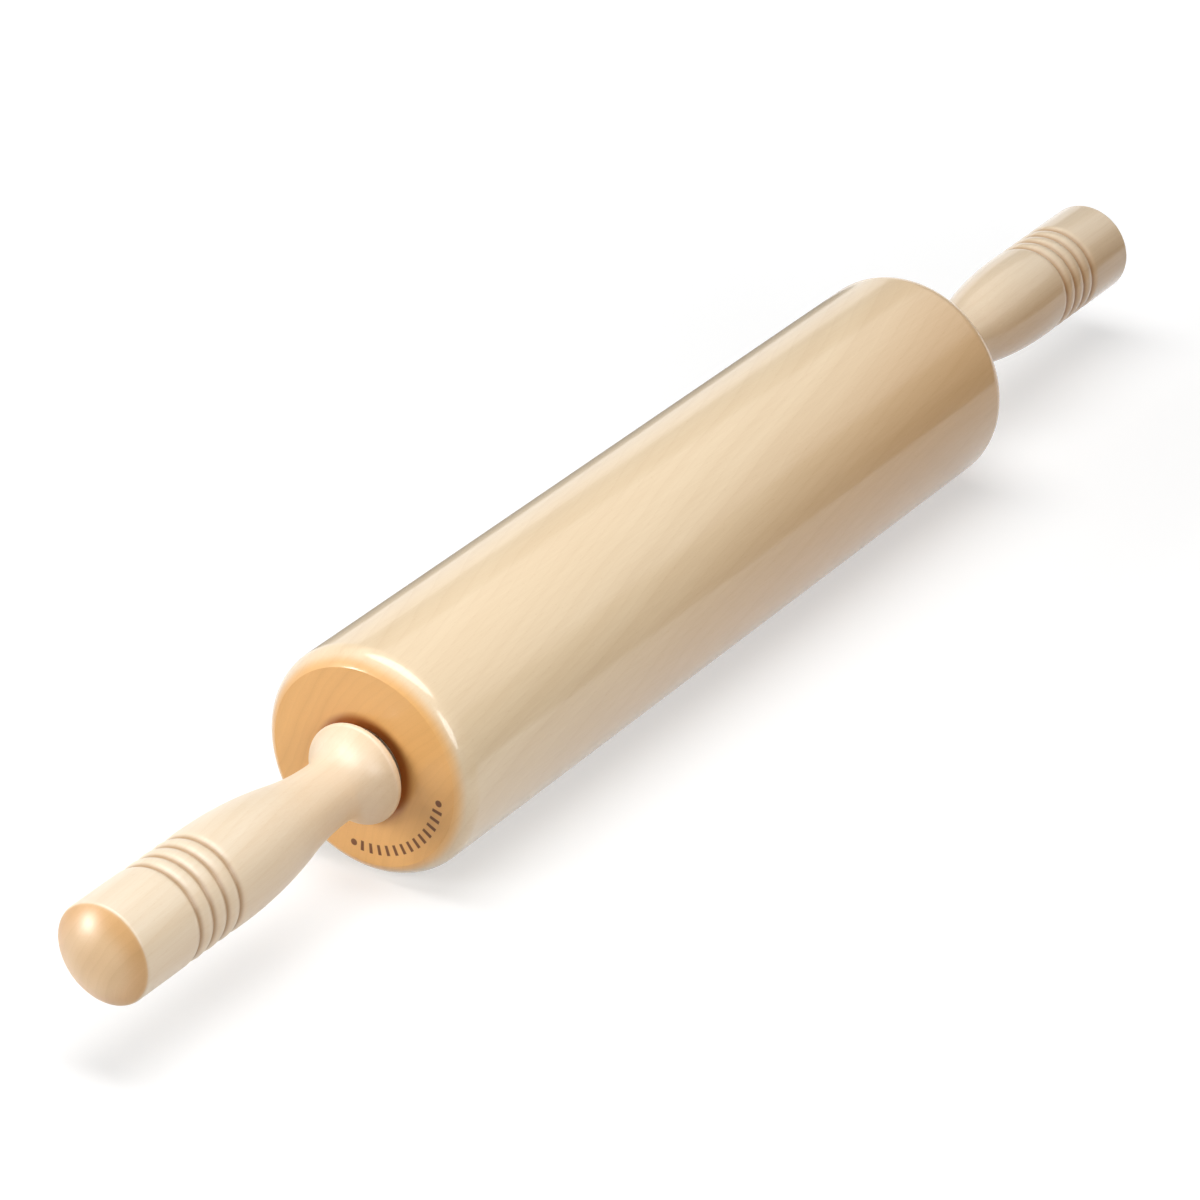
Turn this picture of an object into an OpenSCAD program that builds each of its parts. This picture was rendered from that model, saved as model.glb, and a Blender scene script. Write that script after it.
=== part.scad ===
// Two-handled rolling pin: a solid maple barrel that turns on two ball bearings round a
// steel axle, with a turned maple handle screwed on each end of the axle.
// Sizes are in millimetres. The axle lies along X and the origin is the middle of the barrel.

/* [Barrel] */
// Length of the barrel from end face to end face
barrel_length = 305; // [220:1:460]
// Diameter of the rolling surface
barrel_diameter = 71; // [60:1:100]
// Radius of the rounded rim at each end
rim_radius = 7.8; // [3:0.1:12]
// Angle the rim turns through before the flat end face cuts it off, in degrees
rim_angle = 65; // [40:1:85]
// Free space between the rod and the bore through the barrel
bore_clearance = 1; // [0.5:0.1:3]
// Depth of the bearing's face below the barrel's end face
bearing_recess = 0.5; // [0.2:0.1:2]

/* [Axle] */
// Diameter of the steel rod, which is also the bore of the bearings
rod_diameter = 10; // [9:0.5:12]
// Diameter of the threaded ends of the rod
thread_diameter = 8; // [5:0.5:8.5]
// Length of each threaded end
thread_length = 30; // [20:1:40]
// Bevel on the tips of the rod
rod_bevel = 0.8; // [0.3:0.1:1.5]
// Space between the inner ring's face and the handle is filled by a spacer of this diameter
spacer_diameter = 14.4; // [13:0.1:14.6]

/* [Ball bearings] */
// Outside diameter of each bearing
bearing_diameter = 26; // [24:0.5:30]
// Width of each bearing
bearing_width = 8; // [7:0.5:10]
// Diameter of one ball
ball_diameter = 4.76; // [3.6:0.02:5]
// Number of balls in each bearing
ball_count = 7; // [5:1:8]
// Depth of the raceway below the shoulders of the rings
race_depth = 0.8; // [0.5:0.05:1]
// Clearance between a ball and its raceways
ball_clearance = 0.1; // [0.05:0.01:0.15]
// Bevel on the edges of the rings
ring_bevel = 0.4; // [0.2:0.05:0.6]
// Thickness of the pressed dust shields
shield_thickness = 0.3; // [0.2:0.05:0.5]
// Depth of a shield's face below the face of the bearing
shield_recess = 0.4; // [0.2:0.05:0.6]
// Height of the curled edge that holds a shield in the outer ring
shield_lip = 0.6; // [0.4:0.05:0.8]
// Clearance between a shield and the inner ring
shield_clearance = 0.3; // [0.2:0.05:0.6]
// Clearance between the cage and the rings
cage_clearance = 0.35; // [0.2:0.05:0.5]
// Thickness of the cage's back, measured behind the balls' centres
cage_back = 2.6; // [2:0.1:2.7]
// Height of the cage's fingers, measured in front of the balls' centres
cage_front = 1.4; // [1:0.1:1.8]
// Clearance between a ball and its pocket in the cage
pocket_clearance = 0.12; // [0.05:0.01:0.2]

/* [Handles] */
// Gap between the barrel's end face and the handle's flange
handle_gap = 2.5; // [1:0.1:6]
// Length of a handle from its flange to the shoulder of its domed end
handle_length = 114.7; // [100:0.1:150]
// Diameter of the flange next to the barrel
flange_diameter = 31.2; // [30:0.1:40]
// Width of the straight band between the flange's two rounded corners
flange_land = 0.2; // [0.1:0.1:3]
// Rounding of the flange's two corners
flange_rounding = 1.6; // [0.5:0.1:2]
// Diameter of the neck behind the flange
neck_diameter = 19.4; // [17:0.1:26]
// Distance of the neck's narrowest place from the flange's face
neck_distance = 15; // [12:0.5:30]
// Diameter of the grip
grip_diameter = 30.9; // [28:0.1:36]
// Where the hollow of the neck turns over into the swell of the grip, 0 at the neck and 1 at the grip
hollow_share = 0.36; // [0.2:0.01:0.8]
// Plain length between the swell and the first ring groove
swell_land = 3.5; // [1:0.1:8]
// Plain length between the last ring groove and the shoulder
tip_length = 22.4; // [12:0.1:30]
// Number of ring grooves
groove_count = 4; // [2:1:6]
// Distance from one ring groove to the next
groove_pitch = 5.9; // [4:0.1:7]
// Depth of the ring grooves below the beads
groove_depth = 0.9; // [0.4:0.1:1.5]
// Rounding of the shoulder between the grip and the dome
shoulder_rounding = 1.5; // [0.5:0.1:3]
// Height of the dome above the shoulder
dome_height = 7; // [5:0.1:12]
// Outside diameter of the threaded metal insert in the handle
insert_diameter = 12; // [11:0.5:14]
// Length of the threaded metal insert
insert_length = 24; // [14:1:30]
// Length of drilled hole left free beyond the tip of the rod
tip_clearance = 4; // [1:0.5:8]
// Free space round the rod's tip beyond the insert
pilot_clearance = 0.3; // [0.1:0.1:1]

/* [Fits] */
// Gap drawn at each seat that is pressed, screwed or glued
seat_gap = 0.03; // [0.01:0.01:0.08]

/* [Hidden] */

$fn = 96;
left = -1;
right = 1;

maple = [0.93, 0.84, 0.70];
bright_steel = [0.78, 0.79, 0.80];
dull_steel = [0.62, 0.63, 0.65];
brass = [0.80, 0.66, 0.36];
nylon = [0.90, 0.88, 0.80];

// Steps in which a bent stretch of a turned outline is drawn
small_arc_steps = 6;
wide_arc_steps = 12;
bead_steps = 5;

half_barrel = barrel_length / 2;
barrel_r = barrel_diameter / 2;
face_r = barrel_r - rim_radius * (1 - cos(rim_angle));
rim_length = rim_radius * sin(rim_angle);
bore_r = rod_diameter / 2 + bore_clearance;
bearing_seat_r = bearing_diameter / 2 + seat_gap;
bearing_seat_depth = bearing_recess + bearing_width;
bearing_middle = half_barrel - bearing_recess - bearing_width / 2;
handle_face = half_barrel + handle_gap;
spacer_thickness = bearing_recess + handle_gap;

bearing_r = bearing_diameter / 2;
rod_r = rod_diameter / 2;
thread_r = thread_diameter / 2;
ball_r = ball_diameter / 2;
pitch_r = (rod_r + bearing_r) / 2;
race_r = ball_r + ball_clearance;
inner_land_r = pitch_r - ball_r + race_depth;
outer_land_r = pitch_r + ball_r - race_depth;
shield_seat_r = outer_land_r + shield_lip;
shield_face = bearing_width / 2 - shield_recess;

flange_r = flange_diameter / 2;
neck_r = neck_diameter / 2;
grip_r = grip_diameter / 2;
first_groove = handle_length - tip_length - (groove_count - 1) * groove_pitch;
beads_start = first_groove - groove_pitch / 2;
swell_end = beads_start - swell_land;
bead_r = (pow(groove_pitch / 2, 2) + pow(groove_depth, 2)) / (2 * groove_depth);
insert_r = insert_diameter / 2;
insert_seat_r = insert_r + seat_gap;
pilot_r = thread_r + pilot_clearance;
pilot_depth = max(thread_length, insert_length) + tip_clearance;

// Points of an arc in a turned outline, as [distance from the axis, place along the axis].
// Its first point is left out, because the stretch before it ends there.
function arc(centre, radius, from, to, steps) = [
    for (i = [1 : steps])
        let (a = from + (to - from) * i / steps)
        [centre[0] + radius * cos(a), centre[1] + radius * sin(a)]
];

// Turns a solid about the axle from the outline that the children draw in [distance, place] form.
// The seam of its surface is at the back of the pin.
module turned(place) {
    translate([place, 0, 0])
        rotate([90, 0, 90])
            rotate_extrude()
                children();
}

// Puts what is drawn for the right-hand end on the given end
module at_end(side) {
    mirror([side == left ? 1 : 0, 0, 0])
        children();
}

// Section of a ring with bevelled corners
module ring_section(inner_r, outer_r, width, bevel) {
    half = width / 2;
    polygon([
        [inner_r + bevel, -half],
        [outer_r - bevel, -half],
        [outer_r, -half + bevel],
        [outer_r, half - bevel],
        [outer_r - bevel, half],
        [inner_r + bevel, half],
        [inner_r, half - bevel],
        [inner_r, -half + bevel]
    ]);
}

// Half of the barrel's section: bore, bearing seat, flat end face, rounded rim, rolling surface
function barrel_half_outline() = concat(
    [
        [bore_r, half_barrel - bearing_seat_depth],
        [bearing_seat_r, half_barrel - bearing_seat_depth],
        [bearing_seat_r, half_barrel],
        [face_r, half_barrel]
    ],
    arc([barrel_r - rim_radius, half_barrel - rim_length], rim_radius, rim_angle, 0, wide_arc_steps)
);

module barrel() {
    near_half = barrel_half_outline();
    last = len(near_half) - 1;
    far_half = [for (i = [last : -1 : 0]) [near_half[i][0], -near_half[i][1]]];
    color(maple)
        turned(0)
            polygon(concat(near_half, far_half));
}

module axle_rod() {
    shoulder = handle_face;
    tip = handle_face + thread_length;
    half_rod = [
        [rod_r, shoulder],
        [thread_r, shoulder],
        [thread_r, tip - rod_bevel],
        [thread_r - rod_bevel, tip],
        [0, tip]
    ];
    last = len(half_rod) - 1;
    other_half = [for (i = [last : -1 : 0]) [half_rod[i][0], -half_rod[i][1]]];
    color(bright_steel)
        turned(0)
            polygon(concat(half_rod, other_half));
}

// Flange's face and the edge that ends at its outer rounded corner
function flange_outline() = concat(
    [[insert_seat_r, 0], [flange_r - flange_rounding, 0]],
    arc([flange_r - flange_rounding, flange_rounding], flange_rounding, -90, 0, small_arc_steps),
    [[flange_r, flange_rounding + flange_land]]
);

// Radii, added together, of a crest and a hollow that are level with the axis at their ends
// and share a tangent where they meet
function crest_and_hollow(run, rise) = (run * run + rise * rise) / (2 * rise);

// Rounded corner of the flange and the hollow of the neck
function cove_outline() =
    let (
        corner = flange_rounding + flange_land,
        run = neck_distance - corner,
        both = crest_and_hollow(run, flange_r - neck_r),
        hollow_r = both - flange_rounding,
        sweep = asin(run / both)
    )
    concat(
        arc([flange_r - flange_rounding, corner], flange_rounding, 0, sweep, small_arc_steps),
        arc([neck_r + hollow_r, neck_distance], hollow_r, 180 + sweep, 180, wide_arc_steps)
    );

// Hollow of the neck and swell of the grip
function swell_outline() =
    let (
        run = swell_end - neck_distance,
        both = crest_and_hollow(run, grip_r - neck_r),
        hollow_r = both * hollow_share,
        swell_r = both - hollow_r,
        sweep = asin(run / both)
    )
    concat(
        arc([neck_r + hollow_r, neck_distance], hollow_r, 180, 180 - sweep, wide_arc_steps),
        arc([grip_r - swell_r, swell_end], swell_r, -sweep, 0, wide_arc_steps)
    );

// Ring grooves: round beads that meet in a sharp line, with half a bead at each end
function bead_drop(x) =
    let (
        nearest = round(x / groove_pitch) * groove_pitch,
        off = x - nearest
    )
    bead_r - sqrt(bead_r * bead_r - off * off);

function grooves_outline() = concat(
    [[grip_r, beads_start]],
    [
        for (i = [1 : groove_count * 2 * bead_steps])
            let (x = i * groove_pitch / (2 * bead_steps))
            [grip_r - bead_drop(x), beads_start + x]
    ]
);

// Rounded shoulder and spherical dome that share a tangent
function tip_outline() =
    let (
        reach = grip_r - shoulder_rounding,
        dome_r = (reach * reach + dome_height * dome_height - shoulder_rounding * shoulder_rounding)
            / (2 * (dome_height - shoulder_rounding)),
        tip = handle_length + dome_height,
        meet = atan2(dome_r - dome_height, reach)
    )
    concat(
        [[grip_r, handle_length]],
        arc([reach, handle_length], shoulder_rounding, 0, meet, small_arc_steps),
        arc([0, tip - dome_r], dome_r, meet, 90, wide_arc_steps)
    );

// Blind hole with a wider seat for the metal insert
function handle_bore_outline() = [
    [0, pilot_depth],
    [pilot_r, pilot_depth],
    [pilot_r, insert_length],
    [insert_seat_r, insert_length]
];

module handle() {
    color(maple)
        turned(handle_face)
            polygon(concat(
                flange_outline(),
                cove_outline(),
                swell_outline(),
                grooves_outline(),
                tip_outline(),
                handle_bore_outline()
            ));
}

module threaded_insert() {
    color(brass)
        turned(handle_face + insert_length / 2)
            ring_section(thread_r + seat_gap, insert_r, insert_length, ring_bevel);
}

module spacer_washer() {
    color(bright_steel)
        turned(handle_face - spacer_thickness / 2)
            ring_section(rod_r + seat_gap, spacer_diameter / 2, spacer_thickness, ring_bevel);
}

module bearing_outer_ring() {
    color(bright_steel)
        turned(bearing_middle)
            difference() {
                ring_section(outer_land_r, bearing_r, bearing_width, ring_bevel);
                translate([pitch_r, 0])
                    circle(r = race_r);
                for (end = [-1, 1])
                    translate([0, end * bearing_width / 2 - shield_lip - shield_recess])
                        square([shield_seat_r, 2 * (shield_lip + shield_recess)]);
            }
}

module bearing_inner_ring() {
    color(bright_steel)
        turned(bearing_middle)
            difference() {
                ring_section(rod_r + seat_gap, inner_land_r, bearing_width, ring_bevel);
                translate([pitch_r, 0])
                    circle(r = race_r);
            }
}

// One shape at each ball's place
module at_balls() {
    for (i = [0 : ball_count - 1])
        rotate([0, 0, i * 360 / ball_count])
            translate([pitch_r, 0, 0])
                children();
}

module bearing_balls() {
    color(bright_steel)
        translate([bearing_middle, 0, 0])
            rotate([0, 90, 0])
                at_balls()
                    sphere(r = ball_r);
}

// Crown cage: a ring with open pockets that snap over the balls, and slots that free its fingers
module bearing_cage() {
    pocket_r = ball_r + pocket_clearance;
    slot_r = PI * pitch_r / ball_count - pocket_r;
    color(nylon)
        translate([bearing_middle, 0, 0])
            rotate([0, 90, 0])
                difference() {
                    rotate_extrude()
                        translate([inner_land_r + cage_clearance, -cage_back])
                            square([outer_land_r - inner_land_r - 2 * cage_clearance, cage_back + cage_front]);
                    at_balls()
                        sphere(r = pocket_r);
                    rotate([0, 0, 180 / ball_count])
                        at_balls()
                            translate([0, 0, cage_front])
                                rotate([0, 90, 0])
                                    cylinder(r = slot_r / 2, h = 2 * ball_diameter, center = true);
                }
}

// Pressed disc with a curled edge that sits in the outer ring
module shield_section() {
    outer_r = shield_seat_r - seat_gap;
    polygon([
        [inner_land_r + shield_clearance, 0],
        [outer_r, 0],
        [outer_r, -shield_lip],
        [outer_r - shield_thickness, -shield_lip],
        [outer_r - shield_thickness, -shield_thickness],
        [inner_land_r + shield_clearance, -shield_thickness]
    ]);
}

module outer_shield() {
    color(dull_steel)
        turned(bearing_middle + shield_face)
            shield_section();
}

module inner_shield() {
    color(dull_steel)
        turned(bearing_middle - shield_face)
            mirror([0, 1])
                shield_section();
}

module handle_left() { at_end(left) handle(); }
module handle_right() { at_end(right) handle(); }
module threaded_insert_left() { at_end(left) threaded_insert(); }
module threaded_insert_right() { at_end(right) threaded_insert(); }
module spacer_washer_left() { at_end(left) spacer_washer(); }
module spacer_washer_right() { at_end(right) spacer_washer(); }
module bearing_outer_ring_left() { at_end(left) bearing_outer_ring(); }
module bearing_outer_ring_right() { at_end(right) bearing_outer_ring(); }
module bearing_inner_ring_left() { at_end(left) bearing_inner_ring(); }
module bearing_inner_ring_right() { at_end(right) bearing_inner_ring(); }
module bearing_balls_left() { at_end(left) bearing_balls(); }
module bearing_balls_right() { at_end(right) bearing_balls(); }
module bearing_cage_left() { at_end(left) bearing_cage(); }
module bearing_cage_right() { at_end(right) bearing_cage(); }
module outer_shield_left() { at_end(left) outer_shield(); }
module outer_shield_right() { at_end(right) outer_shield(); }
module inner_shield_left() { at_end(left) inner_shield(); }
module inner_shield_right() { at_end(right) inner_shield(); }

barrel();
axle_rod();
handle_left();
handle_right();
threaded_insert_left();
threaded_insert_right();
spacer_washer_left();
spacer_washer_right();
bearing_outer_ring_left();
bearing_outer_ring_right();
bearing_inner_ring_left();
bearing_inner_ring_right();
bearing_balls_left();
bearing_balls_right();
bearing_cage_left();
bearing_cage_right();
outer_shield_left();
outer_shield_right();
inner_shield_left();
inner_shield_right();
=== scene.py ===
import math

import bmesh
import bpy
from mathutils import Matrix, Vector


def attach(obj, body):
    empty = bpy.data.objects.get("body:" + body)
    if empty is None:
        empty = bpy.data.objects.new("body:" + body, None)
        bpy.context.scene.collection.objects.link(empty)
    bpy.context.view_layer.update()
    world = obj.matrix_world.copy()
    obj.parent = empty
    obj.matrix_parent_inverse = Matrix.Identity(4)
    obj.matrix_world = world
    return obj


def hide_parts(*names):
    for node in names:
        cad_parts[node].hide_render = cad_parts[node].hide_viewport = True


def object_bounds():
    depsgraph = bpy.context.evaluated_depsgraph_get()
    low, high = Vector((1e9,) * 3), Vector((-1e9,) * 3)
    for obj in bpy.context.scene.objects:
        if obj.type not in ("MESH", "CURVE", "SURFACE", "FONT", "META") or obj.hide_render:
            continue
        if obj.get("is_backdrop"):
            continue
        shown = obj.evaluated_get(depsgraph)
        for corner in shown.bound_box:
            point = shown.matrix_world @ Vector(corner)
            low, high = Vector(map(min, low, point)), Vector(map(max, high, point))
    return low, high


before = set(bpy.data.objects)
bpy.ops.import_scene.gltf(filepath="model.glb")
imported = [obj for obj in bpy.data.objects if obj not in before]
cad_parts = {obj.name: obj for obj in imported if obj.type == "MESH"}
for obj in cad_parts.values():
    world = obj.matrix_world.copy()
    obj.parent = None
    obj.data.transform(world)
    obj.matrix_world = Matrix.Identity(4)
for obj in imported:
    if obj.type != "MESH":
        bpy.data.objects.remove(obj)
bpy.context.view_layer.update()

# Lengths are metres, unless a name ends in MM or mm. X runs along the axle, Z is up, and the near end
# in the picture is at -X.
MM = 0.001

# The turned wooden pieces take their outline from the CAD node that each stands for
SEGMENTS = 192
STEPS_PER_BEND = 2
LONGEST_STEP = 12 * MM
SHARP_CORNER_DEG = 20
SAME_PLACE = 0.04 * MM
STRAIGHT_RUN_RATIO = 3
LEAST_BEND = 1e-4

# Sizes that the shaders share with part.scad
BARREL_END_MM = 152.5
GRIP_R_MM = 15.45
GROOVE_BOTTOM_R_MM = 14.55
GROOVES_FROM_MM = 228
GROOVES_TO_MM = 249

# Burnt mark on the near end face: plain strokes between two dots
BURNT = (0.17, 0.055, 0.012)
MARK_R_MM = 26.0
MARK_HALF_LENGTH_MM = 1.5
MARK_HALF_WIDTH_MM = 0.42
MARK_PITCH_DEG = 6.5
MARK_FROM_DEG = -26 * MARK_PITCH_DEG
MARK_TO_DEG = -13 * MARK_PITCH_DEG
MARK_CUT_DEG = 0.1
MARK_EDGE_MM = 0.25
MARK_SKIN_MM = (0.1, 0.2)
DOT_R_MM = 0.95

# Maple, each colour as the light that it gives back. The pith line of the tree passes near pith_mm (Y, Z)
# at X = 0 and leans by lean (Y, Z) along X. Browner wood surrounds it, and fades out over heart_shade_mm from
# it.
# The pith lines lie off the lower front side (-Y, -Z), and the barrel's comes nearer at its far end,
# so this browner wood is also painted shade there.
# End grain begins where the surface faces along X by the first value of end_from, and is full at the second.
BARREL_WOOD = {
    "pale": (0.82, 0.65, 0.432),
    "tan": (0.64, 0.44, 0.24),
    "end_pale": (0.82, 0.44, 0.14),
    "end_dark": (0.62, 0.30, 0.08),
    "pith_mm": (-62.0, -24.0),
    "lean": (0.15, 0.12),
    "heart_shade_mm": (20, 80),
    "end_from": (0.55, 0.95),
}
# The near (left) handle's wood is set paler than the far one's, which partly paints the extra light on the
# near handle
LEFT_WOOD = {
    "pale": (0.87, 0.745, 0.575),
    "tan": (0.70, 0.50, 0.29),
    "end_pale": (0.79, 0.53, 0.29),
    "end_dark": (0.62, 0.38, 0.17),
    "pith_mm": (-30.0, -26.0),
    "lean": (0.11, 0.02),
    "heart_shade_mm": (20, 80),
    "end_from": (0.5, 0.85),
}
RIGHT_WOOD = {
    "pale": (0.84, 0.69, 0.50),
    "tan": (0.64, 0.44, 0.25),
    "end_pale": (0.74, 0.48, 0.25),
    "end_dark": (0.56, 0.33, 0.14),
    "pith_mm": (-36.0, -22.0),
    "lean": (0.02, 0.0),
    "heart_shade_mm": (28, 52),
    "end_from": (0.5, 0.85),
}

# Tints that are multiplied into the wood's colour, and the stretches over which they fade. All four paint
# shade:
# the heartwood tint on the lower front side and far end, the groove tint in the grooves, the dome tint toward
# the dome's edge, and the gap tint on the end face round the flange. The first three also carry some of the
# wood's own darker tone.
HEART_AND_SHADE_TINT = (0.85, 0.66, 0.45)
GROOVE_SHADE_TINT = (0.56, 0.44, 0.33)
GROOVE_SIDE_MM = 1
GROOVE_RIM_MM = 0.1
DOME_EDGE_SHADE_TINT = (0.88, 0.72, 0.50)
DOME_FROM_MM = (270.2, 271.2)
DOME_SHADE_R_MM = (8.0, 15.3)
GAP_SHADE_TINT = (0.45, 0.24, 0.09)
GAP_SHADE_R_MM = (14.6, 17.9)

# The end grain of a handle shows less at its flange than at its dome
FLANGE_END_SHARE = 0.3
FULL_END_MM = (250.0, 258.0)

# Clear finish. The end grain of the barrel holds less of it, and the burnt mark none.
FULL_COAT = 1.0
END_GRAIN_COAT = 0.45
GLOSSY = {"Coat Weight": FULL_COAT, "Coat Roughness": 0.14, "Coat IOR": 1.5, "Specular IOR Level": 0.5}
SATIN = {"Coat Weight": 0.6, "Coat Roughness": 0.32, "Coat IOR": 1.5, "Specular IOR Level": 0.4}

# Growth rings: late wood is the dark side of each ring, and the tone drifts from ring to ring.
# Noise moves the rings by up to PITH_WANDER_MM (Y, Z), so that they aren't true circles.
RING_PITCH_MM = 2.9
LATE_WOOD_POWER = 5.0
TONE_DRIFT_PER_RING = 0.6
PITH_WANDER_MM = (9.0, 6.0)

# Noise in the wood, as features per millimetre along X, Y and Z
PITH_WANDER_Y = (0.008, 0.03, 0.03)
PITH_WANDER_Z = (0.011, 0.021, 0.027)
STREAKS = (0.02, 0.9, 0.9)
FIBRE = (0.09, 4.0, 4.0)
FLECKS = (0.55, 2.6, 2.6)
CLOUDS = (0.012, 0.05, 0.05)
TOOL_MARKS = (1.3, 0.02, 0.02)

# Level of the noise at which a fleck begins, and at which it is full
FLECK_FROM = (0.66, 0.74)

# How much each feature of the grain adds to a value, and what the value starts from
TONE = {
    "late": 0.12,
    "year": 0.3,
    "streaks": 0.3,
    "fibre": 0.26,
    "clouds": 0.3,
    "flecks": 0.14,
    "start": -0.40,
}
END_TONE = {"late": 0.14, "year": 0.5, "fibre": 0.4, "start": -0.3}
ROUGHNESS = {"streaks": 0.12, "flecks": 0.1, "start": 0.40}
HEIGHT = {"streaks": 0.5, "fibre": 0.5, "tool_marks": 0.35, "flecks": -0.2}
WOOD_BUMP_MM = 0.02

# Marks left on metal, as features per millimetre, and the metals with the nodes that are made of them
GROUND = (7.0, 0.4, 0.4)
PRESSED = (1.5, 1.5, 1.5)
METALS = {
    "ground_rod_steel": {
        "light": (0.70, 0.71, 0.72),
        "dark": (0.50, 0.51, 0.53),
        "roughness": 0.28,
        "marks": GROUND,
        "height_mm": 0.004,
        "nodes": ["axle_rod"],
    },
    "turned_steel": {
        "light": (0.64, 0.65, 0.66),
        "dark": (0.44, 0.45, 0.47),
        "roughness": 0.36,
        "marks": GROUND,
        "height_mm": 0.006,
        "nodes": ["spacer_washer"],
    },
    "ground_bearing_steel": {
        "light": (0.72, 0.73, 0.74),
        "dark": (0.55, 0.56, 0.58),
        "roughness": 0.24,
        "marks": GROUND,
        "height_mm": 0.003,
        "nodes": ["bearing_outer_ring", "bearing_inner_ring"],
    },
    "polished_ball_steel": {
        "light": (0.80, 0.81, 0.82),
        "dark": (0.68, 0.69, 0.71),
        "roughness": 0.12,
        "marks": PRESSED,
        "height_mm": 0.001,
        "nodes": ["bearing_balls"],
    },
    "pressed_shield_steel": {
        "light": (0.58, 0.59, 0.60),
        "dark": (0.42, 0.43, 0.45),
        "roughness": 0.40,
        "marks": PRESSED,
        "height_mm": 0.01,
        "nodes": ["outer_shield", "inner_shield"],
    },
    "turned_brass": {
        "light": (0.80, 0.60, 0.28),
        "dark": (0.56, 0.38, 0.15),
        "roughness": 0.34,
        "marks": GROUND,
        "height_mm": 0.008,
        "nodes": ["threaded_insert"],
    },
}
STAIN = (0.25, 0.25, 0.25)
METAL_SHADE = {"line": 0.5, "stain": 0.5, "start": -0.25}
METAL_ROUGHNESS = {"line": 0.18, "stain": 0.1}

# What the marks and stains add to a metal's roughness on average, which its own value is lowered by
METAL_ROUGHNESS_MIDDLE = 0.14

# Moulded nylon
NYLON_LIGHT = (0.78, 0.74, 0.62)
NYLON_DARK = (0.66, 0.60, 0.47)
NYLON_CLOUD = (0.4, 0.4, 0.4)
NYLON_GRAIN = (6.0, 6.0, 6.0)
NYLON_SHADE = {"cloud": 0.6, "grain": 0.3}
NYLON_ROUGHNESS = {"grain": 0.2, "start": 0.42}
NYLON_BUMP_MM = 0.01

# Camera: the photograph's viewing angle, found by fitting the silhouette
CAMERA_AZIMUTH_DEG = -56.56
CAMERA_ELEVATION_DEG = 28.34
CAMERA_DISTANCE = 1.57187
CAMERA_RIGHT = -0.01737
CAMERA_UP = -0.01320
CAMERA_LENS_MM = 155.45
CAMERA_SENSOR_MM = 36
CAMERA_CLIP = (0.05, 50)

# World and floor. The floor's lift toward white grows with the distance from the pin.
AMBIENT = 0.03
FLOOR_REACH = 4.0
FLOOR_GREY = 0.55
FLOOR_LIFT = (0.5, 1.0)
FLOOR_LIFT_FROM = (0.15, 0.9)

# Wall that stands round the pin for its gloss, open below and higher at the back (+Y)
WALL_SIDES = 64
WALL_REACH = 3.0
WALL_BOTTOM = -0.03
WALL_OPEN_SLOPE = 0.5
WALL_TOP = 1.3
WALL_TOP_SLOPE = 0.6
WALL_GLOW = 0.25


# Turned wood

def section_of(node):
    """The corners (x, radius) round the section of a turned CAD node, and whether they close a loop."""
    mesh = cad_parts[node].data
    cells, corners, corner_of = {}, [], []
    for vertex in mesh.vertices:
        x, r = vertex.co.x, math.hypot(vertex.co.y, vertex.co.z)
        i, j = round(x / SAME_PLACE), round(r / SAME_PLACE)
        near = [(i + a, j + b) for a in (-1, 0, 1) for b in (-1, 0, 1)]
        found = next((cells[cell] for cell in near if cell in cells), None)
        if found is None:
            found = cells[i, j] = len(corners)
            corners.append((x, r))
        corner_of.append(found)
    links = {i: set() for i in range(len(corners))}
    for edge in mesh.edges:
        a, b = (corner_of[v] for v in edge.vertices)
        if a != b:
            links[a].add(b)
            links[b].add(a)
    ends = [i for i, near in links.items() if len(near) == 1]
    order = [min(ends, key=lambda i: corners[i][1]) if ends else 0]
    while True:
        onward = [i for i in links[order[-1]] if i not in order]
        if not onward:
            return [corners[i] for i in order], not ends
        order.append(onward[0])


def turn_at(before, here, after):
    """The angle in degrees that the outline turns through at a corner."""
    a, b = Vector(here) - Vector(before), Vector(after) - Vector(here)
    return math.degrees(abs(a.angle_signed(b)))


def tangent_at(before, here, after):
    """The direction of the curve at a soft corner, or of the straight run that ends there."""
    a, b = Vector(here) - Vector(before), Vector(after) - Vector(here)
    if a.length > STRAIGHT_RUN_RATIO * b.length:
        return a.normalized()
    if b.length > STRAIGHT_RUN_RATIO * a.length:
        return b.normalized()
    return (a.normalized() * b.length + b.normalized() * a.length).normalized()


def refined(corners, closed):
    """The outline with points added along it, on smooth curves where it bends, as (x, radius, sharp)."""
    count = len(corners)
    points = []
    for i in range(count if closed else count - 1):
        here, there = corners[i], corners[(i + 1) % count]
        before = corners[i - 1] if closed or i else None
        after = corners[(i + 2) % count] if closed or i + 2 < count else None
        run = Vector(there) - Vector(here)
        starts_sharp = before is None or turn_at(before, here, there) > SHARP_CORNER_DEG
        ends_sharp = after is None or turn_at(here, there, after) > SHARP_CORNER_DEG
        leave = run.normalized() if starts_sharp else tangent_at(before, here, there)
        arrive = run.normalized() if ends_sharp else tangent_at(here, there, after)
        bent = abs(leave.angle_signed(arrive)) > LEAST_BEND
        steps = STEPS_PER_BEND if bent else max(1, math.ceil(run.length / LONGEST_STEP))
        points.append((here[0], here[1], starts_sharp))
        for step in range(1, steps):
            u = step / steps
            point = (
                Vector(here) * (2 * u**3 - 3 * u**2 + 1)
                + leave * run.length * (u**3 - 2 * u**2 + u)
                + Vector(there) * (3 * u**2 - 2 * u**3)
                + arrive * run.length * (u**3 - u**2)
            )
            points.append((point.x, point.y, False))
    if not closed:
        points.append((*corners[-1], True))
    return points


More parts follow.
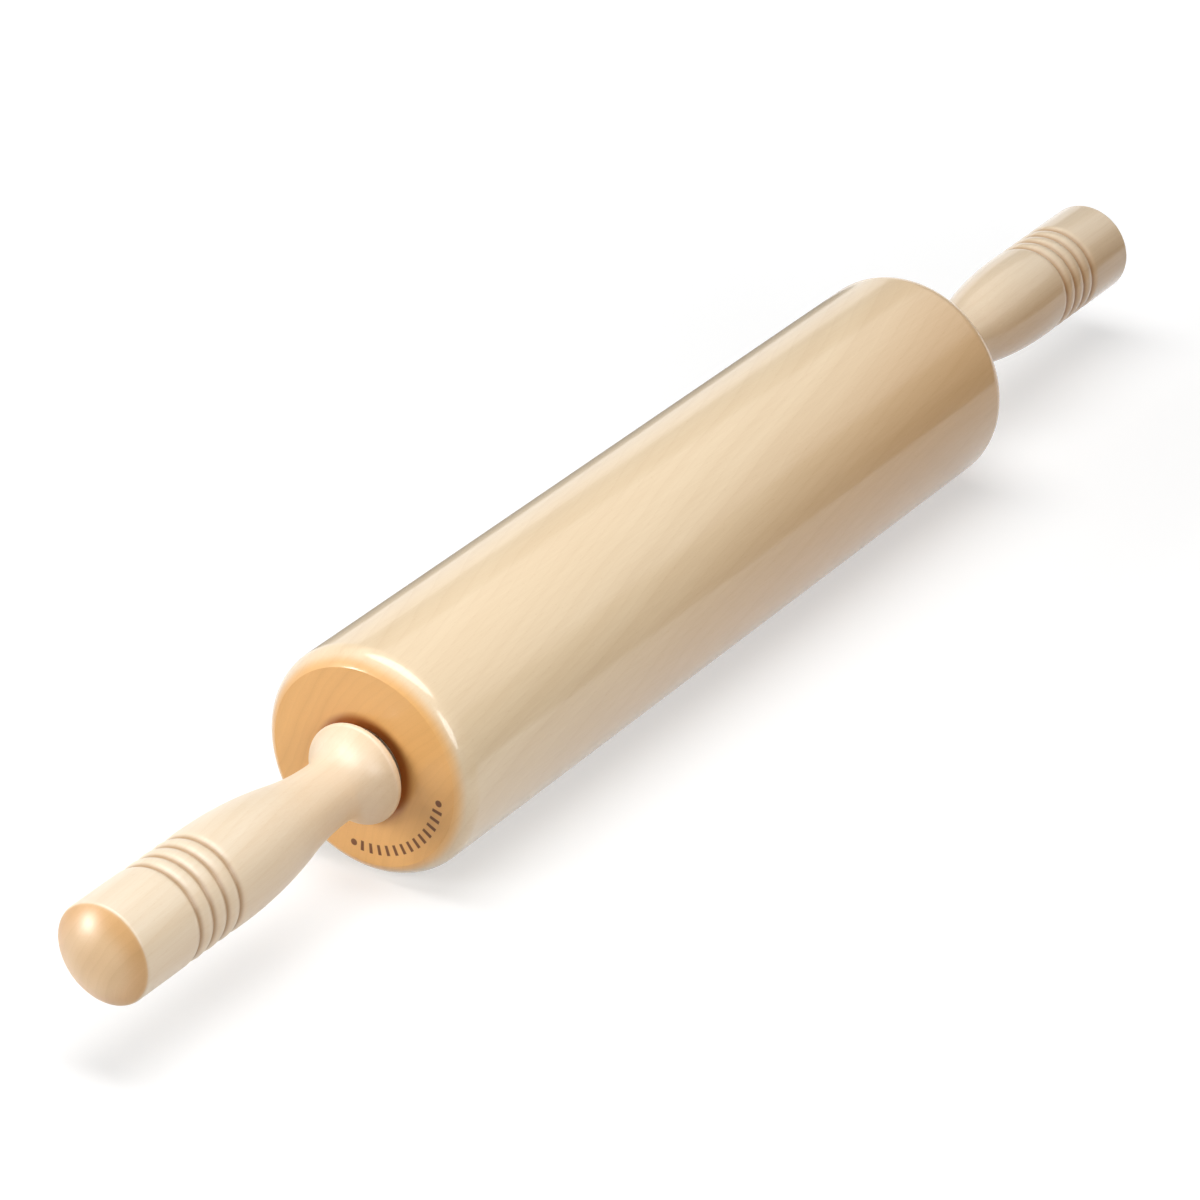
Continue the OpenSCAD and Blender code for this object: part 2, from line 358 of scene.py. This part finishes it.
def lathe(name, points, closed):
    """A mesh turned about X from (x, radius, sharp) points. An open outline is closed on the axis."""
    verts, rings = [], []
    for x, r, _ in points:
        if r < SAME_PLACE:
            rings.append([len(verts)] * SEGMENTS)
            verts.append((x, 0, 0))
            continue
        rings.append(list(range(len(verts), len(verts) + SEGMENTS)))
        for k in range(SEGMENTS):
            a = 2 * math.pi * k / SEGMENTS
            verts.append((x, r * math.cos(a), r * math.sin(a)))
    pairs = list(zip(rings, rings[1:]))
    if closed:
        pairs.append((rings[-1], rings[0]))
    elif points[-1][1] > SAME_PLACE:
        pairs.append((rings[-1], [len(verts)] * SEGMENTS))
        verts.append((points[-1][0], 0, 0))
    faces = []
    for a, b in pairs:
        for k in range(SEGMENTS):
            n = (k + 1) % SEGMENTS
            faces.append(list(dict.fromkeys((a[k], a[n], b[n], b[k]))))
    sharp = set()
    for (_, _, is_sharp), ring in zip(points, rings):
        if is_sharp:
            sharp.update(frozenset((ring[k], ring[k - 1])) for k in range(SEGMENTS))
    return smooth_object(name, verts, faces, sharp)


def smooth_object(name, verts, faces, sharp=()):
    """A smooth-shaded mesh object whose faces agree in direction, with the given edges kept sharp."""
    mesh = bpy.data.meshes.new(name)
    mesh.from_pydata(verts, [], faces)
    bm = bmesh.new()
    bm.from_mesh(mesh)
    bmesh.ops.recalc_face_normals(bm, faces=bm.faces)
    bm.to_mesh(mesh)
    bm.free()
    mesh.shade_smooth()
    for edge in mesh.edges:
        edge.use_edge_sharp = frozenset(edge.vertices) in sharp
    piece = bpy.data.objects.new(name, mesh)
    bpy.context.scene.collection.objects.link(piece)
    return piece


# Shaders

class Nodes:
    """The nodes of a material or of the world, made and linked with short calls."""

    def __init__(self, tree):
        self.tree = tree

    def put(self, socket, value):
        if isinstance(value, bpy.types.NodeSocket):
            self.tree.links.new(value, socket)
        else:
            socket.default_value = value

    def node(self, kind, inputs=None, **settings):
        made = self.tree.nodes.new("ShaderNode" + kind)
        for key, value in settings.items():
            setattr(made, key, value)
        for key, value in (inputs or {}).items():
            self.put(made.inputs[key], value)
        return made

    def math(self, operation, *values, clamp=False):
        made = self.node("Math", dict(enumerate(values)), operation=operation, use_clamp=clamp)
        return made.outputs[0]

    def times(self, a, b):
        return self.math("MULTIPLY", a, b)

    def size(self, value):
        """The value without its sign."""
        return self.math("ABSOLUTE", value)

    def clamped(self, value):
        """The value, kept from 0 to 1."""
        return self.math("ADD", value, 0.0, clamp=True)

    def hypot(self, a, b):
        return self.math("SQRT", self.math("ADD", self.times(a, a), self.times(b, b)))

    def total(self, *values):
        """The sum of (weight, value) pairs and plain values."""
        result = None
        for value in values:
            if isinstance(value, tuple):
                value = self.times(value[1], value[0])
            result = value if result is None else self.math("ADD", result, value)
        return result

    def weighed(self, weights, features):
        """The sum of the features by their weights, and of the value called start where there is one."""
        parts = [weight if key == "start" else (weight, features[key]) for key, weight in weights.items()]
        return self.total(*parts)

    def stretched(self, place, scale):
        return self.node("VectorMath", {0: place, 1: scale}, operation="MULTIPLY").outputs[0]

    def split(self, vector):
        return self.node("SeparateXYZ", {0: vector}).outputs

    def noise(self, place, scale, detail=2.0, roughness=0.5):
        """Smooth noise from 0 to 1. The scale gives features per millimetre along each axis."""
        inputs = {
            "Vector": self.stretched(place, scale),
            "Scale": 1.0,
            "Detail": detail,
            "Roughness": roughness,
        }
        return self.node("TexNoise", inputs).outputs["Fac"]

    def between(self, value, low, high, to_low=0.0, to_high=1.0):
        """Goes smoothly from to_low, up to the low value, to to_high, from the high one on."""
        inputs = {
            "Value": value,
            "From Min": low,
            "From Max": high,
            "To Min": to_low,
            "To Max": to_high,
        }
        return self.node("MapRange", inputs, interpolation_type="SMOOTHSTEP").outputs["Result"]

    def mix(self, share, a, b, blend="MIX"):
        made = self.node("Mix", data_type="RGBA", blend_type=blend)
        self.put(made.inputs["Factor"], share)
        self.put(made.inputs["A"], a if isinstance(a, bpy.types.NodeSocket) else (*a, 1))
        self.put(made.inputs["B"], b if isinstance(b, bpy.types.NodeSocket) else (*b, 1))
        return made.outputs["Result"]

    def seen_directly(self):
        """1 for camera, glossy and transmission rays, and 0 for the rays that light things."""
        path = self.node("LightPath").outputs
        either = self.math("MAXIMUM", path["Is Camera Ray"], path["Is Glossy Ray"])
        return self.math("MAXIMUM", either, path["Is Transmission Ray"])


class Material(Nodes):
    """A material with one surface shader."""

    def __init__(self, name):
        self.material = bpy.data.materials.new(name)
        self.material.use_nodes = True
        super().__init__(self.material.node_tree)
        self.surface = self.tree.nodes["Principled BSDF"]

    def millimetres(self):
        """The point on the piece, in millimetres of the CAD frame, whatever pose the piece is in."""
        place = self.node("TexCoord").outputs["Object"]
        return self.stretched(place, (1 / MM, 1 / MM, 1 / MM))

    def finish(self, colour, roughness, bump, bump_mm, constants):
        """Joins the nodes to the surface shader, and sets what is the same all over on its own sockets."""
        self.put(self.surface.inputs["Base Color"], colour)
        self.put(self.surface.inputs["Roughness"], roughness)
        inputs = {"Height": bump, "Distance": bump_mm * MM, "Strength": 1.0}
        self.put(self.surface.inputs["Normal"], self.node("Bump", inputs).outputs[0])
        for key, value in constants.items():
            self.surface.inputs[key].default_value = value
        return self.material

    def replace_surface(self, shader):
        """Shows the given shader node instead of the surface shader."""
        self.put(self.tree.nodes["Material Output"].inputs["Surface"], shader.outputs[0])
        return self.material


def burnt_mark(s, place, from_axis):
    """1 where the mark is burnt into the near end face: strokes that point to the axle, a dot at each end."""
    x, y, z = s.split(place)
    turn = s.math("DEGREES", s.math("ARCTAN2", z, y))
    on_face = s.between(x, *(depth - BARREL_END_MM for depth in MARK_SKIN_MM), 1.0, 0.0)
    off_stroke = s.math("SUBTRACT", s.math("FRACT", s.math("DIVIDE", turn, MARK_PITCH_DEG)), 0.5)
    pitch_mm = math.radians(MARK_PITCH_DEG) * MARK_R_MM
    sideways = s.times(s.size(off_stroke), pitch_mm)
    lengthways = s.size(s.math("SUBTRACT", from_axis, MARK_R_MM))
    strokes = s.times(
        s.between(sideways, MARK_HALF_WIDTH_MM, MARK_HALF_WIDTH_MM + MARK_EDGE_MM, 1.0, 0.0),
        s.between(lengthways, MARK_HALF_LENGTH_MM, MARK_HALF_LENGTH_MM + MARK_EDGE_MM, 1.0, 0.0),
    )
    within = s.times(
        s.between(turn, MARK_FROM_DEG, MARK_FROM_DEG + MARK_CUT_DEG),
        s.between(turn, MARK_TO_DEG, MARK_TO_DEG + MARK_CUT_DEG, 1.0, 0.0),
    )
    mark = s.times(strokes, within)
    for end_deg in (MARK_FROM_DEG - MARK_PITCH_DEG / 2, MARK_TO_DEG + MARK_PITCH_DEG / 2):
        a = math.radians(end_deg)
        centre = (-BARREL_END_MM, MARK_R_MM * math.cos(a), MARK_R_MM * math.sin(a))
        off_dot = s.node("VectorMath", {0: place, 1: centre}, operation="DISTANCE").outputs["Value"]
        mark = s.math("MAXIMUM", mark, s.between(off_dot, DOT_R_MM, DOT_R_MM + MARK_EDGE_MM, 1.0, 0.0))
    return s.times(mark, on_face)


def maple_grain(s, place, wood):
    """The features of the grain by name, and the distance from the pith line in millimetres."""
    x, y, z = s.split(place)
    pith_y, pith_z = wood["pith_mm"]
    lean_y, lean_z = wood["lean"]
    wander_y, wander_z = PITH_WANDER_MM
    across = s.total(y, (-lean_y, x), (wander_y, s.noise(place, PITH_WANDER_Y, detail=3.0)), -pith_y)
    down = s.total(z, (-lean_z, x), (wander_z, s.noise(place, PITH_WANDER_Z)), -pith_z)
    from_pith = s.hypot(across, down)
    years = s.math("DIVIDE", from_pith, RING_PITCH_MM)
    drift = {"W": s.times(years, TONE_DRIFT_PER_RING), "Scale": 1.0, "Detail": 2.0}
    grain = {
        "late": s.math("POWER", s.math("FRACT", years), LATE_WOOD_POWER),
        "year": s.node("TexNoise", drift, noise_dimensions="1D").outputs["Fac"],
        "streaks": s.noise(place, STREAKS, detail=4.0, roughness=0.62),
        "fibre": s.noise(place, FIBRE),
        "flecks": s.between(s.noise(place, FLECKS, detail=1.0), *FLECK_FROM),
        "clouds": s.noise(place, CLOUDS),
        "tool_marks": s.noise(place, TOOL_MARKS, detail=1.0),
    }
    return grain, from_pith


def handle_colour(s, colour, along, from_axis):
    """The colour of a handle's wood, with painted shade in its grooves and toward its dome's edge."""
    inside = s.times(
        s.between(along, GROOVES_FROM_MM - GROOVE_SIDE_MM, GROOVES_FROM_MM),
        s.between(along, GROOVES_TO_MM, GROOVES_TO_MM + GROOVE_SIDE_MM, 1.0, 0.0),
    )
    deep = s.between(from_axis, GROOVE_BOTTOM_R_MM + GROOVE_RIM_MM, GRIP_R_MM - GROOVE_RIM_MM, 1.0, 0.0)
    # Painted shade in the grooves, partly darker finish gathered there
    colour = s.mix(s.times(inside, deep), colour, GROOVE_SHADE_TINT, "MULTIPLY")
    # Painted shade toward the dome's edge, partly darker end grain at its shoulder
    dome_edge_shade = s.times(s.between(along, *DOME_FROM_MM), s.between(from_axis, *DOME_SHADE_R_MM))
    return s.mix(dome_edge_shade, colour, DOME_EDGE_SHADE_TINT, "MULTIPLY")


def barrel_colour(s, colour, place, from_axis, end):
    """The colour of the barrel's wood, with painted shade on the end face round the flange, and burnt at the
    mark.
    """
    # Painted shade on the end face round the flange, where the gap lies in shadow
    gap_shade = s.times(end, s.between(from_axis, *GAP_SHADE_R_MM, 1.0, 0.0))
    colour = s.mix(gap_shade, colour, GAP_SHADE_TINT, "MULTIPLY")
    mark = burnt_mark(s, place, from_axis)
    coat = s.times(s.between(mark, 0.0, 1.0, FULL_COAT, 0.0), s.between(end, 0.0, 1.0, 1.0, END_GRAIN_COAT))
    s.put(s.surface.inputs["Coat Weight"], coat)
    return s.mix(mark, colour, BURNT)


def maple(name, wood, gloss, is_handle):
    """Pale maple under a clear finish: growth rings round a pith line, fibre, ray flecks, honey end grain."""
    s = Material(name)
    place = s.millimetres()
    x, y, z = s.split(place)
    along, from_axis = s.size(x), s.hypot(y, z)
    grain, from_pith = maple_grain(s, place, wood)

    long_grain = s.mix(s.clamped(s.weighed(TONE, grain)), wood["pale"], wood["tan"])
    # Browner heartwood, placed so that it also paints shade on the lower front side and toward the barrel's
    # far end
    near_heart_shade = s.between(from_pith, *wood["heart_shade_mm"], 1.0, 0.0)
    long_grain = s.mix(near_heart_shade, long_grain, HEART_AND_SHADE_TINT, "MULTIPLY")
    end_grain = s.mix(s.clamped(s.weighed(END_TONE, grain)), wood["end_pale"], wood["end_dark"])
    facing = s.size(s.split(s.node("TexCoord").outputs["Normal"])[0])
    end = s.between(facing, *wood["end_from"])
    if is_handle:
        end = s.times(end, s.between(along, *FULL_END_MM, FLANGE_END_SHARE, 1.0))
    colour = s.mix(end, long_grain, end_grain)
    if is_handle:
        colour = handle_colour(s, colour, along, from_axis)
    else:
        colour = barrel_colour(s, colour, place, from_axis, end)
    return s.finish(colour, s.weighed(ROUGHNESS, grain), s.weighed(HEIGHT, grain), WOOD_BUMP_MM, gloss)


def metal(name, look):
    """Worked metal: fine marks left by the tool, faint stains, roughness that varies with both."""
    s = Material(name)
    place = s.millimetres()
    wear = {
        "line": s.noise(place, look["marks"], detail=3.0, roughness=0.6),
        "stain": s.noise(place, STAIN, detail=3.0),
    }
    colour = s.mix(s.clamped(s.weighed(METAL_SHADE, wear)), look["light"], look["dark"])
    start = look["roughness"] - METAL_ROUGHNESS_MIDDLE
    roughness = s.weighed({**METAL_ROUGHNESS, "start": start}, wear)
    return s.finish(colour, roughness, wear["line"], look["height_mm"], {"Metallic": 1.0})


def nylon(name):
    """Moulded nylon: faintly mottled, with a fine matt grain."""
    s = Material(name)
    place = s.millimetres()
    skin = {"cloud": s.noise(place, NYLON_CLOUD), "grain": s.noise(place, NYLON_GRAIN)}
    colour = s.mix(s.weighed(NYLON_SHADE, skin), NYLON_LIGHT, NYLON_DARK)
    return s.finish(
        colour, s.weighed(NYLON_ROUGHNESS, skin), skin["grain"], NYLON_BUMP_MM, {"Specular IOR Level": 0.5}
    )


def dress(material, names):
    """Gives CAD nodes that stay in view a better material on their own slots."""
    for name in names:
        for end in ("", "_left", "_right"):
            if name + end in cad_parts:
                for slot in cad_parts[name + end].material_slots:
                    slot.material = material


# Pieces

def turned_piece(name, node, body, material):
    """A fine turned piece that stands for a CAD node."""
    corners, closed = section_of(node)
    piece = lathe(name, refined(corners, closed), closed)
    piece.data.materials.append(material)
    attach(piece, body)
    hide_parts(node)


barrel_maple = maple("maple_barrel_satin", BARREL_WOOD, GLOSSY, is_handle=False)
left_maple = maple("maple_handle_left_satin", LEFT_WOOD, SATIN, is_handle=True)
right_maple = maple("maple_handle_right_satin", RIGHT_WOOD, GLOSSY, is_handle=True)
turned_piece("turned_barrel", "barrel", "barrel", barrel_maple)
turned_piece("turned_handle_left", "handle_left", "axle", left_maple)
turned_piece("turned_handle_right", "handle_right", "axle", right_maple)

for metal_name, look in METALS.items():
    dress(metal(metal_name, look), look["nodes"])
dress(nylon("moulded_nylon"), ["bearing_cage"])


# Camera, light and floor

def aimed(thing, place, aim):
    """Puts a camera or lamp in its place, so that it looks at the aim."""
    thing.location = place
    thing.rotation_euler = (Vector(place) - Vector(aim)).to_track_quat("Z", "Y").to_euler()
    bpy.context.scene.collection.objects.link(thing)


def add_camera():
    a, e = math.radians(CAMERA_AZIMUTH_DEG), math.radians(CAMERA_ELEVATION_DEG)
    back = Vector((math.sin(a) * math.cos(e), -math.cos(a) * math.cos(e), math.sin(e)))
    right = Vector((math.cos(a), math.sin(a), 0))
    up = back.cross(right)
    data = bpy.data.cameras.new("camera")
    data.lens = CAMERA_LENS_MM
    data.sensor_width = CAMERA_SENSOR_MM
    data.clip_start, data.clip_end = CAMERA_CLIP
    camera = bpy.data.objects.new("camera", data)
    aim = right * CAMERA_RIGHT + up * CAMERA_UP
    aimed(camera, aim + back * CAMERA_DISTANCE, aim)
    bpy.context.scene.camera = camera


def add_softbox(name, place, aim, size, watts, glossy=True, diffuse=True):
    """A soft oval lamp that the camera doesn't see. It can be kept out of gloss or of plain surfaces."""
    data = bpy.data.lights.new(name, "AREA")
    data.shape = "ELLIPSE"
    data.size, data.size_y = size
    data.energy = watts
    lamp = bpy.data.objects.new(name, data)
    lamp.visible_camera = False
    lamp.visible_glossy = glossy
    lamp.visible_diffuse = diffuse
    aimed(lamp, place, aim)


def add_world():
    """White where it is seen, and a weaker even light on everything."""
    world = bpy.data.worlds.new("studio")
    bpy.context.scene.world = world
    world.use_nodes = True
    s = Nodes(world.node_tree)
    background = s.tree.nodes["Background"]
    background.inputs["Color"].default_value = (1, 1, 1, 1)
    s.put(background.inputs["Strength"], s.between(s.seen_directly(), 0.0, 1.0, AMBIENT, 1.0))


def add_floor():
    """A pale floor that keeps the shadow. The lift brings it to white where nothing shades it."""
    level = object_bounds()[0][2]
    corners = [(x * FLOOR_REACH, y * FLOOR_REACH, level) for x, y in ((-1, -1), (1, -1), (1, 1), (-1, 1))]
    floor = smooth_object("floor", corners, [(0, 1, 2, 3)])
    s = Material("floor_white")
    diffuse = s.node("BsdfDiffuse", {"Color": (FLOOR_GREY, FLOOR_GREY, FLOOR_GREY, 1)})
    place = s.node("TexCoord").outputs["Object"]
    away = s.node("VectorMath", {0: place}, operation="LENGTH").outputs["Value"]
    lift = s.times(s.seen_directly(), s.between(away, *FLOOR_LIFT_FROM, *FLOOR_LIFT))
    glow = s.node("Emission", {"Strength": lift})
    both = s.node("AddShader", {0: diffuse.outputs[0], 1: glow.outputs[0]})
    floor.data.materials.append(s.replace_surface(both))
    floor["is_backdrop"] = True


def add_for_gloss(name, verts, faces, strength):
    """A dim surface of the studio that only the gloss of the finish shows."""
    surface = smooth_object(name, verts, faces)
    s = Material(name + "_dim")
    surface.data.materials.append(s.replace_surface(s.node("Emission", {"Strength": strength})))
    surface.visible_camera = False
    surface.visible_diffuse = False
    surface.visible_shadow = False
    surface.visible_transmission = False
    surface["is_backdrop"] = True


def add_wall():
    """The wall round the studio. At the back (+Y) it leaves the white floor open below and stands higher."""
    angles = [2 * math.pi * k / WALL_SIDES for k in range(WALL_SIDES)]
    ring = [(WALL_REACH * math.cos(a), WALL_REACH * math.sin(a)) for a in angles]
    verts = [(x, y, max(WALL_BOTTOM, WALL_OPEN_SLOPE * y)) for x, y in ring]
    verts += [(x, y, WALL_TOP + WALL_TOP_SLOPE * max(0, y)) for x, y in ring]
    faces = []
    for k in range(WALL_SIDES):
        n = (k + 1) % WALL_SIDES
        faces.append((k, n, WALL_SIDES + n, WALL_SIDES + k))
    add_for_gloss("wall", verts, faces, WALL_GLOW)


def add_card(name, from_x, to_x, y, top, glow):
    """A low card that stands on the floor beside the pin."""
    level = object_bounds()[0][2]
    verts = [(from_x, y, level), (to_x, y, level), (to_x, y, top), (from_x, y, top)]
    add_for_gloss(name, verts, [(0, 1, 2, 3)], glow)


add_camera()
add_softbox("overhead", place=(-0.12, 0.0, 0.95), aim=(-0.12, 0, 0), size=(0.5, 1.2), watts=9.4)
add_softbox("window", place=(-1.2, 0.91, 0.35), aim=(-0.15, 0, 0), size=(0.5, 1.0), watts=13.6, glossy=False)
# The glint is the small highlight on the near dome
add_softbox(
    "glint", place=(-0.58, 0.304, 0.127), aim=(-0.27, 0, 0.01), size=(0.14, 0.14), watts=1.6, diffuse=False
)
add_softbox("side", place=(-0.48, -0.68, 0.38), aim=(-0.28, 0, 0), size=(0.3, 0.5), watts=2.4)
add_softbox("far_end", place=(1.5, -0.1, 0.16), aim=(0.15, 0, 0), size=(0.3, 0.3), watts=3.2, glossy=False)
add_world()
add_floor()
add_wall()
add_card("card_front", from_x=-1.2, to_x=1.8, y=-0.18, top=0.03, glow=0.12)
add_card("card_back", from_x=-0.065, to_x=0.25, y=0.10, top=0.022, glow=0.18)

bpy.context.scene.view_settings.view_transform = "Standard"
